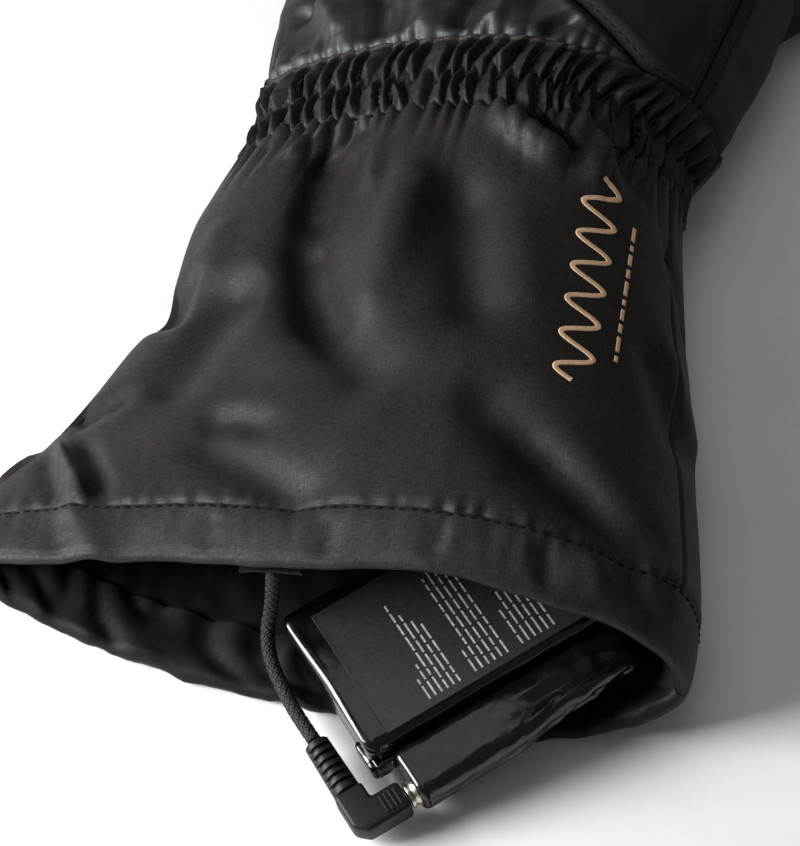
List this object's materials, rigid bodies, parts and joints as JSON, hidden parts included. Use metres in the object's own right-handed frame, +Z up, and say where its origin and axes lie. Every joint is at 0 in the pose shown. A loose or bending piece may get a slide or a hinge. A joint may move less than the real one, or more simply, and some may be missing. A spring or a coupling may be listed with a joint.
{
  "type": "heated glove",
  "caption": "Padded glove lying palm down, with a flared gauntlet cuff, a gathered wrist, hollow fingers and thumb, and a battery pack in its mouth on a short plug-in cord.",
  "frame": {"origin": "middle of the palm's flat resting face", "axes": "+X to the thumb side, +Y to the fingertips, +Z up out of the back of the hand"},
  "size_m": [0.1947, 0.3609, 0.0473],
  "materials": {
    "satin_polyester": "satin",
    "lining_taffeta": "matte",
    "sheen_polyester": "satin",
    "softshell": "matte",
    "palm_microfibre": "matte",
    "shrink_wrap": "gloss",
    "label_film": "satin",
    "nickel_plate": "polished",
    "moulded_pvc": "matte",
    "braided_sleeve": "matte"
  },
  "bodies": {
    "root": {"gauntlet": "satin_polyester", "gauntlet_hem": "satin_polyester", "cuff_lining": "lining_taffeta", "wrist_gathers": "satin_polyester", "back_panel": "sheen_polyester", "knuckle_panel": "softshell", "palm_panel": "palm_microfibre", "thumb": "palm_microfibre", "little_finger": "softshell", "ring_finger": "softshell", "middle_finger": "softshell", "index_finger": "softshell", "battery_pack": "shrink_wrap", "battery_label": "label_film", "socket_block": "shrink_wrap", "plug_barrel": "nickel_plate", "dc_plug": "moulded_pvc", "strain_relief": "moulded_pvc", "cord": "braided_sleeve", "cord_tab": "satin_polyester"}
  },
  "joints": []
}
